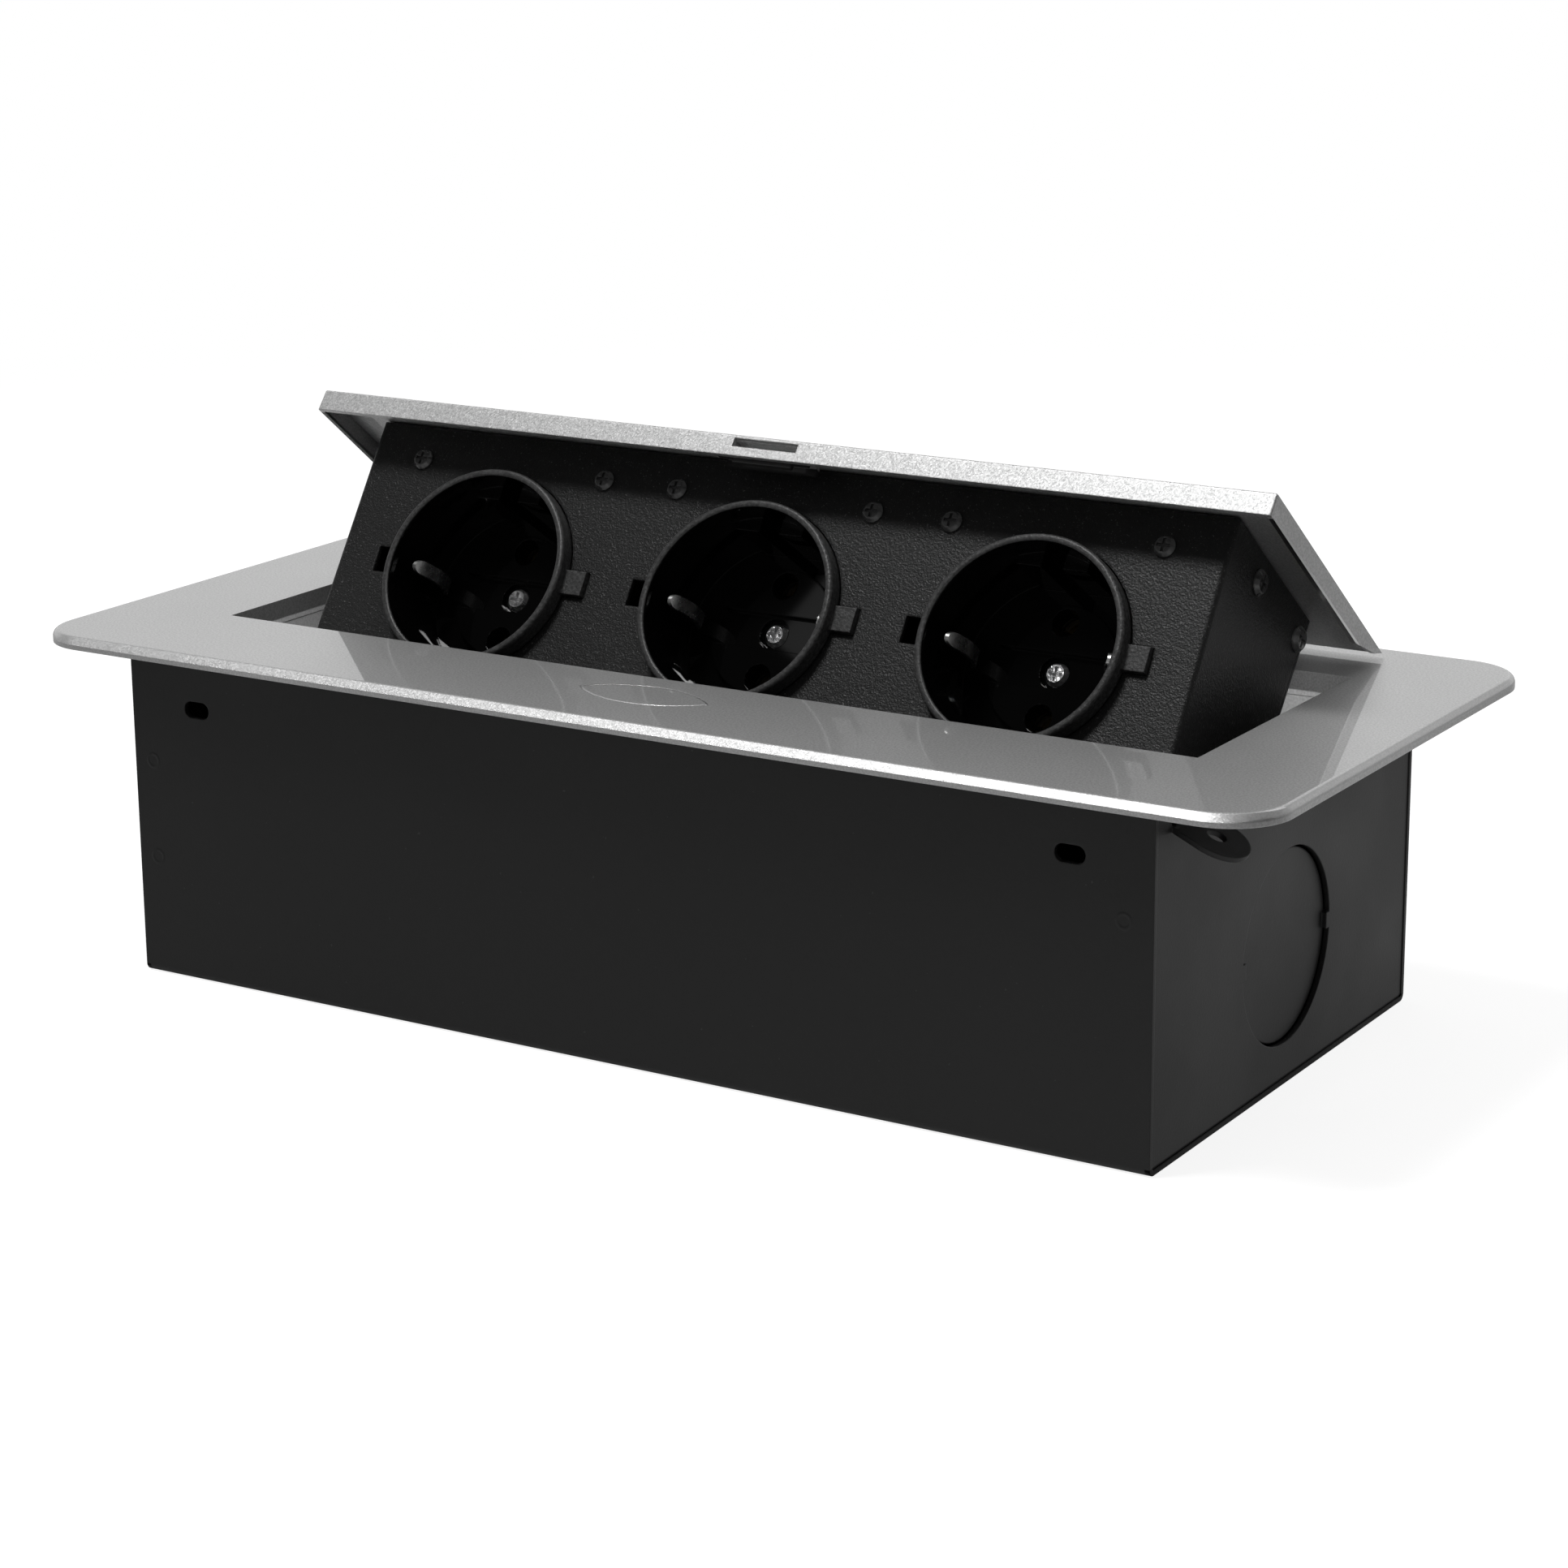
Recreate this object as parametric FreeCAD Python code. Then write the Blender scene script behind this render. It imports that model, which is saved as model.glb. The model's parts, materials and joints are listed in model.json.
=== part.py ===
# In-desk power module: a frame plate let into a desk, a sheet-steel housing below it, and a
# sprung lid that tilts up a row of three earthed sockets when the release button is pressed.
#
# Millimetres. +X runs along the length, +Y away from the button, +Z up. The origin is the
# middle of the frame plate, on the seat that lies on the desk. The lid and the socket carrier
# are drawn shut, then swung open about the hinge, which is how the part rests.
import FreeCAD, Part
import math
import os

os.makedirs("parts", exist_ok=True)

V = FreeCAD.Vector
X_AXIS = V(1, 0, 0)
Y_AXIS = V(0, 1, 0)
Z_AXIS = V(0, 0, 1)

# Frame plate
frame_thickness = 2.4
frame_corner_radius = 12.0
frame_edge_round = 1.4
front_rail = 30.5
end_rail = 26.4
front_overhang = 5.3
end_overhang = 21.75
skirt_wall = 1.2
skirt_depth = 8.0
lip_depth = 4.8
lip_step = 0.4
seat_recess = 0.3
stud_radius = 2.0
stud_length = 6.0
stud_inset = 63.0
nut_height = 3.2
nut_across_flats = 7.0

# Housing
floor_room = 12.5
housing_sheet = 1.0
housing_bend = 1.5
top_flange = 9.0
end_flange = 12.0
end_wall_inset = 0.2
clamp_slot_length = 6.0
clamp_slot_width = 3.3
clamp_slot_inset = 16.05
clamp_slot_drop = 10.0
knockout_radius = 18.0
knockout_rise = 26.3
knockout_gap = 0.5
knockout_sink = 1.0
knockout_nib = 3.0
nib_reach = 0.8
relief_notch = 1.6
ear_width = 12.6
ear_length = 12.2
ear_slope = 24.7
ear_drop = 4.5
ear_setback = 12.8
ear_hole_radius = 1.75

# Lid and hinge
lid_gap = 0.75
lid_rear_gap = 1.25
lid_sheet = 1.0
lid_flange = 4.5
lid_bend = 0.4
lid_tail = 12.8
open_angle = 38.7
pivot_behind_opening = 9.1
pivot_wall_room = 9.0
pivot_drop = 21.6
rear_edge_clearance = 0.3
pin_radius = 2.0
pin_clearance = 0.05
pin_head_radius = 3.4
pin_head_height = 1.2
bracket_inset = 18.75
bracket_width = 18.0
bracket_sheet = 1.5
bracket_height = 19.0
bracket_nose = 5.0
arm_sheet = 2.0
arm_nose = 4.0
arm_offset = 3.0
arm_foot_width = 12.0
arm_foot_height = 14.0
spring_wire = 1.2
spring_coil_radius = 3.2
spring_turns = 4.0
spring_pitch = 1.7
spring_leg = 8.0

# Socket carrier
carrier_end_margin = 4.25
carrier_end_gap = 10.85
carrier_rear_room = 15.6
chamber_room = 11.0
carrier_sheet = 1.0
carrier_top_gap = 0.5
face_setback = 8.75
face_lean = 5.4
cover_flange = 8.0
cover_flange_drop = 14.0
lid_bracket_height = 10.0
lid_bracket_foot = 12.0
lid_bracket_front = 15.5
side_screw_drop = 6.65
side_screw_inset = 1.85
side_screw_spacing = 22.9
side_screw_head = 2.6

# Screws
screw_radius = 1.4
screw_head_radius = 2.2
screw_head_height = 1.1
screw_clearance = 0.1
head_shoulder = 0.35
head_crown = 0.72
cross_reach = 0.6
cross_width = 0.28
cross_floor = 0.4
arm_screw_grip = 4.0
side_screw_length = 4.0
cover_screw_length = 4.0
face_screw_length = 7.0
face_hole_depth = 8.0
guide_screw_bite = 2.6
cover_screw_inset = 6.0

# Sockets
socket_count = 3
base_spacing = 9.0
rim_radius = 20.75
rim_height = 3.5
rim_wall = 1.6
rim_round = 0.65
above_rim = 8.35
below_rim = 4.05
cup_depth = 14.0
cup_floor = 3.5
cup_taper = 0.6
face_hole_gap = 0.35
tab_width = 4.9
tab_length = 4.55
tab_height = 1.2
tab_gap = 0.25
guide_width = 5.0
guide_spread = 9.6
guide_depth = 1.6
island_radius = 13.0
island_height = 1.2
pin_hole_radius = 2.75
pin_hole_spacing = 19.0
screw_well_radius = 3.1
screw_well_depth = 1.5
centre_screw_radius = 1.3
centre_head_radius = 2.4
centre_head_height = 1.2
screw_beside_rim = 1.25
base_edge = 4.0
base_below = 19.0
base_plate = 3.5
base_round = 3.0
chamber_half_width = 14.0
chamber_half_height = 14.6
chamber_depth = 8.0
post_radius = 3.4
clip_width = 3.6
clip_tongue_width = 2.8
clip_sheet = 0.8
clip_beside_rim = 2.75
clip_height = 13.0
clip_lean = 1.6
contact_radius = 3.4
contact_bore = 2.5
contact_sink = 2.0
contact_length = 7.0
contact_slit = 0.9
contact_tail = 1.0
chamber_clearance = 0.15
bus_width = 5.0
bus_thickness = 1.0
bus_overhang = 9.0

# Supply side
terminal_poles = 3
terminal_pole_width = 10.0
terminal_depth = 7.0
terminal_height = 9.0
terminal_shift = 4.5
terminal_lift = 1.5
terminal_screw_radius = 1.5
terminal_head_radius = 1.9
terminal_head_height = 1.0
terminal_groove = 0.6
grommet_inset = 23.75
grommet_rise = 11.0
grommet_hole_radius = 6.5
grommet_bore = 4.0
grommet_rim = 8.2
grommet_lip = 1.2

# Release button and latch
button_half_length = 14.0
button_half_width = 6.0
button_setback = 11.8
button_cap = 0.9
button_gap = 0.25
button_round = 0.35
latch_travel = 2.0
leg_half_width = 4.0
leg_thickness = 2.2
leg_bottom = 9.0
leg_setback = 1.6
leg_clearance = 0.07
frame_skin = 0.8
tongue_half_width = 6.5
tongue_reach = 2.4
tongue_bevel = 1.0
slider_thickness = 1.1
slider_beside_button = 4.2
slider_length = 18.4
slider_gap = 0.25
slider_wall = 1.5
slider_web = 1.6
slider_web_drop = 2.0
slider_web_length = 12.0
window_margin = 0.3
guide_wall = 0.8
guide_floor = 1.2
button_spring_length = 6.0
button_spring_wire = 0.5
button_spring_radius = 1.3
button_spring_turns = 5.0
guide_ear = 9.0
guide_ear_thickness = 2.0
boss_radius = 3.5
boss_height = 3.3
guide_screw_beside = 5.8
catch_half_width = 10.0
catch_lip_half_width = 6.5
catch_depth = 5.4
catch_foot = 4.5
notch_half_width = 7.1
notch_top = 0.8
notch_bottom = 2.6

# Places that follow from the sizes above
rim_inner = rim_radius - rim_wall
body_radius = rim_radius - face_hole_gap
tab_reach = rim_radius + tab_length
clip_radius = rim_inner - clip_beside_rim
socket_down = rim_radius + above_rim
face_screw_offset = rim_radius + screw_beside_rim
base_half_width = face_screw_offset + base_edge
socket_pitch = 2 * base_half_width + base_spacing
carrier_length = socket_count * socket_pitch + 2 * carrier_end_margin
carrier_depth = cup_depth + cup_floor + base_plate + chamber_depth + chamber_room
opening_half = carrier_length / 2 + carrier_end_gap
opening_width = lid_gap + face_setback + carrier_depth + carrier_rear_room
rear_rail = pivot_behind_opening + pivot_wall_room + housing_sheet + front_overhang
frame_length = 2 * (opening_half + end_rail)
frame_width = front_rail + opening_width + rear_rail
housing_length = frame_length - 2 * end_overhang
housing_width = frame_width - 2 * front_overhang
stud_spacing = frame_length - 2 * stud_inset
clamp_slot_spacing = housing_length - 2 * clamp_slot_inset
top_z = frame_thickness
opening_front = -frame_width / 2 + front_rail
opening_rear = opening_front + opening_width
flange_top = seat_recess
wall_half = housing_width / 2
inner_half = wall_half - housing_sheet
pivot = V(0, opening_rear + pivot_behind_opening, -pivot_drop)
corner_radius = math.hypot(pivot_behind_opening, top_z + pivot_drop)
tail_radius = corner_radius + rear_edge_clearance
bracket_inner = carrier_length / 2 - bracket_inset
arm_x = bracket_inner + arm_offset
lid_front = opening_front + lid_gap
lid_rear = opening_rear - lid_rear_gap
lid_half = opening_half - lid_gap
lid_under = top_z - lid_sheet
carrier_half = carrier_length / 2
carrier_inner = carrier_half - carrier_sheet
carrier_top = lid_under - carrier_top_gap
carrier_drop = socket_down + rim_radius + below_rim - carrier_top
housing_depth = carrier_drop + floor_room
knockout_drop = housing_depth - knockout_rise
face_top = lid_front + face_setback
carrier_rear = face_top + carrier_depth
lean = math.radians(face_lean)
side_screw_z = top_z - side_screw_drop
cup_bottom = -cup_depth - cup_floor
base_back = cup_bottom - base_plate
chamber_back = base_back - chamber_depth
contact_top = cup_bottom - contact_sink
terminal_x = -socket_pitch / 2 - terminal_shift
grommet_x = grommet_inset - carrier_half
grommet_drop = carrier_drop - grommet_rise
button_y = opening_front - button_setback
leg_centre = button_y - leg_setback
leg_foot = top_z - button_cap - leg_bottom
slider_half_width = button_half_length + slider_beside_button
guide_screw_x = slider_half_width + guide_screw_beside
slider_bottom = top_z - frame_skin - slider_gap - slider_thickness
slider_rear = opening_front - skirt_wall - 2 * guide_wall + latch_travel / 4
tongue_tip = opening_front + tongue_reach
pocket_rear = slider_rear + button_gap
pocket_front = slider_rear - slider_length - latch_travel - button_gap
guide_top = slider_bottom - leg_clearance
guide_bottom = leg_foot - button_spring_length
socket_places = [(i - (socket_count - 1) / 2) * socket_pitch for i in range(socket_count)]


def box(x0, x1, y0, y1, z0, z1):
    return Part.makeBox(x1 - x0, y1 - y0, z1 - z0, V(x0, y0, z0))


def cylinder(radius, height, base, axis):
    return Part.makeCylinder(radius, height, base, axis)


def fuse(first, *others):
    return first.multiFuse(list(others)).removeSplitter()


def prism_x(points, x0, x1):
    """A profile of (y, z) points, drawn out along X."""
    corners = [V(x0, y, z) for y, z in points]
    face = Part.Face(Part.makePolygon(corners + corners[:1]))
    return face.extrude(V(x1 - x0, 0, 0))


def bar_x(points, half):
    return prism_x(points, -half, half)


def round_edges(shape, radius, chosen):
    edges = [edge for edge in shape.Edges if chosen([v.Point for v in edge.Vertexes])]
    return shape.makeFillet(radius, edges)


def near(a, b):
    return abs(a - b) < 1e-6


def obround(length, width, x, z, y0, y1):
    """A slot along X that is cut through a wall from y0 to y1."""
    reach = (length - width) / 2
    middle = box(x - reach, x + reach, y0, y1, z - width / 2, z + width / 2)
    ends = [cylinder(width / 2, y1 - y0, V(x + side * reach, y0, z), Y_AXIS) for side in (-1, 1)]
    return fuse(middle, *ends)


def lens(half_length, half_width, y, z0, z1):
    tips = [V(-half_length, y, z0), V(half_length, y, z0)]
    back = Part.Arc(tips[0], V(0, y + half_width, z0), tips[1]).toShape()
    front = Part.Arc(tips[1], V(0, y - half_width, z0), tips[0]).toShape()
    return Part.Face(Part.Wire([back, front])).extrude(V(0, 0, z1 - z0))


def aimed(shape, base, axis):
    """Turns a shape drawn along +Z so that it stands on base and points along axis."""
    turned = shape.copy()
    turned.Placement = FreeCAD.Placement(base, FreeCAD.Rotation(Z_AXIS, axis))
    return turned


def pan_screw(head_radius, head_height, radius, length):
    """A cross-recessed pan-head screw along +Z, with its seat at z = 0 and its shank below."""
    shoulder = head_height * head_shoulder
    rim = cylinder(head_radius, shoulder, V(0, 0, 0), Z_AXIS)
    crown = Part.makeCone(head_radius, head_radius * head_crown, head_height - shoulder,
                          V(0, 0, shoulder), Z_AXIS)
    screw = fuse(rim, crown, cylinder(radius, length, V(0, 0, -length), Z_AXIS))
    reach = head_radius * cross_reach
    half = head_radius * cross_width / 2
    floor = head_height * cross_floor
    cross = fuse(box(-reach, reach, -half, half, floor, head_height + 1),
                 box(-half, half, -reach, reach, floor, head_height + 1))
    return screw.cut(cross)


def coil(radius, wire, pitch, turns):
    """A helix of wire about Z that starts on +X at z = 0, with a six-sided section."""
    path = Part.makeHelix(pitch, pitch * turns, radius)
    corners = [V(radius + wire / 2 * math.cos(math.radians(60 * k)), 0,
                 wire / 2 * math.sin(math.radians(60 * k))) for k in range(6)]
    section = Part.makePolygon(corners + corners[:1])
    return Part.Wire(path.Edges).makePipeShell([section], True, True)


def on_face(shape, x):
    """Moves a shape from the socket's own frame, with +Y up the face and +Z out of it."""
    moved = shape.copy()
    moved.rotate(V(0, 0, 0), X_AXIS, 90 + face_lean)
    down = V(0, math.sin(lean), -math.cos(lean)) * socket_down
    moved.translate(V(x, face_top, carrier_top) + down)
    return moved


def opened(shape):
    """Swings a shape of the lid's body from shut to open."""
    swung = shape.copy()
    swung.rotate(pivot, X_AXIS, -open_angle)
    return swung


def mirrored(shape):
    return shape.mirror(V(0, 0, 0), X_AXIS)


def save(name, shape):
    shape.exportStep("parts/" + name + ".step")


def save_open(name, shape):
    save(name, opened(shape))


def frame():
    half_x = frame_length / 2
    half_y = frame_width / 2
    plate = box(-half_x, half_x, -half_y, half_y, 0, top_z)
    plate = round_edges(plate, frame_corner_radius,
                        lambda p: near(p[0].x, p[1].x) and near(p[0].y, p[1].y))
    plate = round_edges(plate, frame_edge_round, lambda p: all(near(q.z, top_z) for q in p))
    recess_x = housing_length / 2 + seat_recess
    recess_y = wall_half + seat_recess
    plate = plate.cut(box(-recess_x, recess_x, -recess_y, recess_y, 0, seat_recess))
    skirt = box(-opening_half - skirt_wall, opening_half + skirt_wall,
                opening_front - skirt_wall, opening_rear + skirt_wall, -skirt_depth, top_z / 2)
    studs = [cylinder(stud_radius, seat_recess + stud_length, V(x, y, -stud_length), Z_AXIS)
             for x, y in stud_places()]
    bosses = [cylinder(boss_radius, boss_height, V(x, button_y, seat_recess - boss_height), Z_AXIS)
              for x in (-guide_screw_x, guide_screw_x)]
    body = fuse(plate, skirt, *studs, *bosses)
    body = body.cut(box(-opening_half, opening_half, opening_front, opening_rear,
                        -skirt_depth, top_z))
    body = body.cut(box(-opening_half - lip_step, opening_half + lip_step, opening_front - lip_step,
                        opening_rear + lip_step, -skirt_depth, top_z - lip_depth))
    pocket_top = top_z - frame_skin
    pocket_half = slider_half_width + button_gap
    pocket = box(-pocket_half, pocket_half, pocket_front, pocket_rear, -boss_height, pocket_top)
    throat_half = tongue_half_width + button_gap
    throat = box(-throat_half, throat_half, pocket_front, opening_front, slider_bottom - slider_gap,
                 pocket_top)
    hole = lens(button_half_length + button_gap, button_half_width + button_gap, button_y, 0, top_z)
    tapped = [cylinder(screw_radius, boss_height, V(x, button_y, seat_recess - boss_height), Z_AXIS)
              for x in (-guide_screw_x, guide_screw_x)]
    return body.cut(fuse(pocket, throat, hole, *tapped))


def stud_places():
    y = inner_half - top_flange / 2
    return [(x, side * y) for x in (-stud_spacing / 2, stud_spacing / 2) for side in (-1, 1)]


def frame_nuts():
    nuts = []
    corner = nut_across_flats / math.sqrt(3)
    for x, y in stud_places():
        seat = flange_top - housing_sheet
        points = [V(x + corner * math.cos(math.radians(60 * k)),
                    y + corner * math.sin(math.radians(60 * k)), seat - nut_height)
                  for k in range(6)]
        blank = Part.Face(Part.makePolygon(points + points[:1])).extrude(V(0, 0, nut_height))
        bore = cylinder(stud_radius + pin_clearance, nut_height, V(x, y, seat - nut_height), Z_AXIS)
        nuts.append(blank.cut(bore))
    return Part.makeCompound(nuts)


def housing_body():
    half = housing_length / 2
    tube = box(-half, half, -wall_half, wall_half, -housing_depth, flange_top)
    tube = round_edges(tube, housing_bend, lambda p: not near(p[0].x, p[1].x))
    hollow = box(-half, half, -inner_half, inner_half, -housing_depth + housing_sheet,
                 flange_top - housing_sheet)
    hollow = round_edges(hollow, housing_bend - housing_sheet, lambda p: not near(p[0].x, p[1].x))
    lip = inner_half - top_flange
    mouth = box(-half, half, -lip, lip, flange_top - 2 * housing_sheet, flange_top)
    latch_gap = guide_screw_x + guide_ear / 2
    latch_space = box(-latch_gap, latch_gap, -inner_half, 0, flange_top - 2 * housing_sheet, flange_top)
    slots = [obround(clamp_slot_length, clamp_slot_width, x, -clamp_slot_drop, y, y + housing_sheet)
             for x in (-clamp_slot_spacing / 2, clamp_slot_spacing / 2)
             for y in (-wall_half, inner_half)]
    stud_holes = [cylinder(stud_radius + screw_clearance, 2 * housing_sheet,
                           V(x, y, flange_top - 2 * housing_sheet), Z_AXIS)
                  for x, y in stud_places()]
    return tube.cut(fuse(hollow, mouth, latch_space)).cut(slots + stud_holes)


def end_wall():
    """The right end wall; the left one is the same piece, turned half round."""
    outer = housing_length / 2 - end_wall_inset
    inner = outer - housing_sheet
    low = -housing_depth + housing_sheet
    high = flange_top - housing_sheet
    shell = box(outer - end_flange, outer, -inner_half, inner_half, low, high)
    shell = round_edges(shell, housing_sheet, lambda p: not near(p[0].x, p[1].x))
    shell = shell.cut(box(outer - end_flange, inner, -inner_half + housing_sheet,
                          inner_half - housing_sheet, low + housing_sheet, high))
    shell = shell.cut(cylinder(knockout_radius + knockout_gap, housing_sheet,
                               V(inner, 0, -knockout_drop), X_AXIS))
    ear_y = -wall_half + ear_setback
    window = box(inner - housing_sheet, outer, ear_y - ear_width / 2, ear_y + ear_width / 2,
                 -ear_drop, high)
    notch = box(inner - housing_sheet, outer, -inner_half, -inner_half + relief_notch,
                high - relief_notch, high)
    shell = shell.cut(fuse(window, notch))
    tongue = box(0, ear_length - ear_width / 2, -ear_width / 2, ear_width / 2, -housing_sheet, 0)
    tip = cylinder(ear_width / 2, housing_sheet, V(ear_length - ear_width / 2, 0, -housing_sheet), Z_AXIS)
    ear = fuse(tongue, tip).cut(cylinder(ear_hole_radius, housing_sheet,
                                         V(ear_length - ear_width / 2, 0, -housing_sheet), Z_AXIS))
    ear.rotate(V(0, 0, 0), Y_AXIS, ear_slope)
    ear.translate(V(outer, ear_y, -ear_drop))
    knuckle = cylinder(housing_sheet, ear_width, V(outer, ear_y - ear_width / 2, -ear_drop - housing_sheet),
                       Y_AXIS).common(box(inner, outer + 2 * housing_sheet, -wall_half, wall_half,
                                          -ear_drop - 2 * housing_sheet, -ear_drop))
    knuckle = knuckle.cut(box(outer, outer + 2 * housing_sheet, -wall_half, wall_half,
                              -ear_drop - 2 * housing_sheet, -ear_drop - housing_sheet))
    return fuse(shell, ear, knuckle, knockout(inner, outer))


def knockout(inner, outer):
    """The cable entry's disc, punched inward and still held by two nibs."""
    disc = cylinder(knockout_radius, housing_sheet, V(inner - knockout_sink, 0, -knockout_drop), X_AXIS)
    reach = knockout_radius + 2 * knockout_gap
    nibs = box(inner - knockout_sink, outer, -reach, reach, -knockout_drop - knockout_nib / 2,
               -knockout_drop + knockout_nib / 2)
    bared = cylinder(knockout_radius - nib_reach, 2 * housing_sheet + knockout_sink,
                     V(inner - knockout_sink, 0, -knockout_drop), X_AXIS)
    return fuse(disc, nibs.cut(bared))


def turned_half_round(shape):
    turned = shape.copy()
    turned.rotate(V(0, 0, 0), Z_AXIS, 180)
    return turned


def hinge_bracket():
    """A folded bracket on the rear wall whose two cheeks hold the hinge pin."""
    x0 = bracket_inner
    x1 = bracket_inner + bracket_width
    foot_z = pivot.z - bracket_height / 2
    foot = box(x0, x1, inner_half - bracket_sheet, inner_half, foot_z, foot_z + bracket_height)
    cheeks = []
    for x in (x0, x1 - bracket_sheet):
        plate = prism_x([(inner_half, foot_z), (inner_half, foot_z + bracket_height),
                         (pivot.y, pivot.z + bracket_nose), (pivot.y, pivot.z - bracket_nose)],
                        x, x + bracket_sheet)
        nose = cylinder(bracket_nose, bracket_sheet, V(x, pivot.y, pivot.z), X_AXIS)
        cheeks += [plate, nose]
    hole = cylinder(pin_radius + pin_clearance, bracket_width, V(x0, pivot.y, pivot.z), X_AXIS)
    return fuse(foot, *cheeks).cut(hole)


def hinge_pin():
    shank = cylinder(pin_radius, bracket_width + pin_head_height,
                     V(bracket_inner - pin_head_height / 2, pivot.y, pivot.z), X_AXIS)
    heads = [cylinder(pin_head_radius, pin_head_height, V(x, pivot.y, pivot.z), X_AXIS)
             for x in (bracket_inner - pin_head_height, bracket_inner + bracket_width)]
    return fuse(shank, *heads)


def torsion_spring():
    """Wound about the hinge pin: one leg lies along the arm, one bears on the bracket's foot."""
    turns = spring_turns + open_angle / 360
    winding = aimed(coil(spring_coil_radius, spring_wire, spring_pitch, turns), V(0, 0, 0), X_AXIS)
    radius = spring_wire / 2
    arm_leg = cylinder(radius, spring_leg, V(0, 0, -spring_coil_radius), V(0, -1, 0))
    winding = fuse(winding, arm_leg)
    winding.rotate(V(0, 0, 0), X_AXIS, -open_angle)
    reach = inner_half - bracket_sheet - pivot.y
    foot_leg = cylinder(radius, reach, V(spring_pitch * turns, 0, -spring_coil_radius), Y_AXIS)
    winding = fuse(winding, foot_leg)
    winding.translate(V(arm_x + arm_sheet + spring_wire, pivot.y, pivot.z))
    return winding


def hinge_arm():
    """A folded arm from the carrier's rear cover back to the hinge pin, drawn shut."""
    back = carrier_rear + carrier_sheet
    x0 = arm_x
    x1 = x0 + arm_sheet
    arm_top = pivot.z + arm_nose
    foot_low = arm_top - arm_foot_height
    blade = prism_x([(back, arm_top), (pivot.y, arm_top), (pivot.y, pivot.z - arm_nose),
                     (back, foot_low)], x0, x1)
    nose = cylinder(arm_nose, arm_sheet, V(x0, pivot.y, pivot.z), X_AXIS)
    foot = box(x0, x0 + arm_foot_width, back, back + arm_sheet, foot_low, arm_top)
    arm = fuse(blade, nose, foot)
    arm = arm.cut(cylinder(pin_radius + pin_clearance, arm_sheet, V(x0, pivot.y, pivot.z), X_AXIS))
    holes = [cylinder(screw_radius + screw_clearance, arm_sheet, V(x, back, z), Y_AXIS)
             for x, z in arm_screw_places()]
    return arm.cut(holes)


def arm_screw_places():
    x = arm_x + (arm_sheet + arm_foot_width) / 2
    middle = pivot.z + arm_nose - arm_foot_height / 2
    return [(x, middle - arm_foot_height / 4), (x, middle + arm_foot_height / 4)]


def arm_screws():
    seat = carrier_rear + carrier_sheet + arm_sheet
    screw = pan_screw(screw_head_radius, screw_head_height, screw_radius, arm_sheet + arm_screw_grip)
    return Part.makeCompound([aimed(screw, V(side * x, seat, z), Y_AXIS)
                              for side in (-1, 1) for x, z in arm_screw_places()])


def lid():
    low = top_z - lid_flange
    outline = [(lid_front, top_z), (lid_front, low), (lid_rear - lid_tail, low),
               (lid_rear, lid_under), (lid_rear, top_z)]
    shell = bar_x(outline, lid_half)
    shell = round_edges(shell, lid_bend, lambda p: lid_outer_edge(p[0], p[1]))
    hollow = bar_x([(lid_front + lid_sheet, lid_under), (lid_front + lid_sheet, low - 1),
                    (lid_rear + 1, low - 1), (lid_rear + 1, lid_under)], lid_half - lid_sheet)
    notch = box(-notch_half_width, notch_half_width, lid_front, lid_front + lid_sheet,
                top_z - notch_bottom, top_z - notch_top)
    swing = cylinder(tail_radius, 2 * lid_half, V(-lid_half, pivot.y, pivot.z), X_AXIS)
    return shell.cut(fuse(hollow, notch)).cut(swing)


def lid_outer_edge(a, b):
    """The bends along the lid's top front and end edges, and down its front corners."""
    if near(a.z, top_z) and near(b.z, top_z):
        return not (near(a.y, lid_rear) and near(b.y, lid_rear))
    return near(a.y, lid_front) and near(b.y, lid_front) and near(a.x, b.x)


def lid_catch():
    """A channel welded under the lid behind its notch, which the latch tongue hooks."""
    y0 = lid_front + lid_sheet
    y1 = y0 + lid_sheet
    flange_low = top_z - lid_flange
    upright = box(-catch_half_width, catch_half_width, y0, y1, flange_low, lid_under)
    lip = box(-catch_lip_half_width, catch_lip_half_width, y0, y1, top_z - catch_depth, flange_low)
    foot = box(-catch_half_width, catch_half_width, y0, y0 + catch_foot, lid_under - lid_sheet, lid_under)
    back = box(-catch_half_width, catch_half_width, y0 + catch_foot - lid_sheet, y0 + catch_foot,
               flange_low, lid_under)
    window = box(-notch_half_width, notch_half_width, y0, y0 + 2 * lid_sheet,
                 top_z - notch_bottom, top_z - notch_top)
    return fuse(upright, lip, foot, back).cut(window)


def side_screw_places():
    rear = carrier_rear - side_screw_inset
    return [(rear - side_screw_spacing, side_screw_z), (rear, side_screw_z)]


def lid_bracket():
    y0 = lid_front + lid_bracket_front
    y1 = carrier_rear - carrier_sheet
    wall = box(carrier_inner - carrier_sheet, carrier_inner, y0, y1,
               lid_under - lid_bracket_height, lid_under)
    foot = box(carrier_inner - lid_bracket_foot, carrier_inner, y0, y1, lid_under - carrier_sheet, lid_under)
    holes = [cylinder(screw_radius + screw_clearance, 2 * carrier_sheet,
                      V(carrier_inner - carrier_sheet, y, z), X_AXIS) for y, z in side_screw_places()]
    return fuse(wall, foot).cut(holes)


def side_screws():
    screw = pan_screw(side_screw_head, screw_head_height, screw_radius, side_screw_length)
    return Part.makeCompound([aimed(screw, V(side * carrier_half, y, z), V(side, 0, 0))
                              for side in (-1, 1) for y, z in side_screw_places()])


def face_y(z, inset):
    """Where the socket face stands at a height, or a plane set back into the carrier from it."""
    return face_top + (carrier_top - z) * math.tan(lean) + inset / math.cos(lean)


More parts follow.
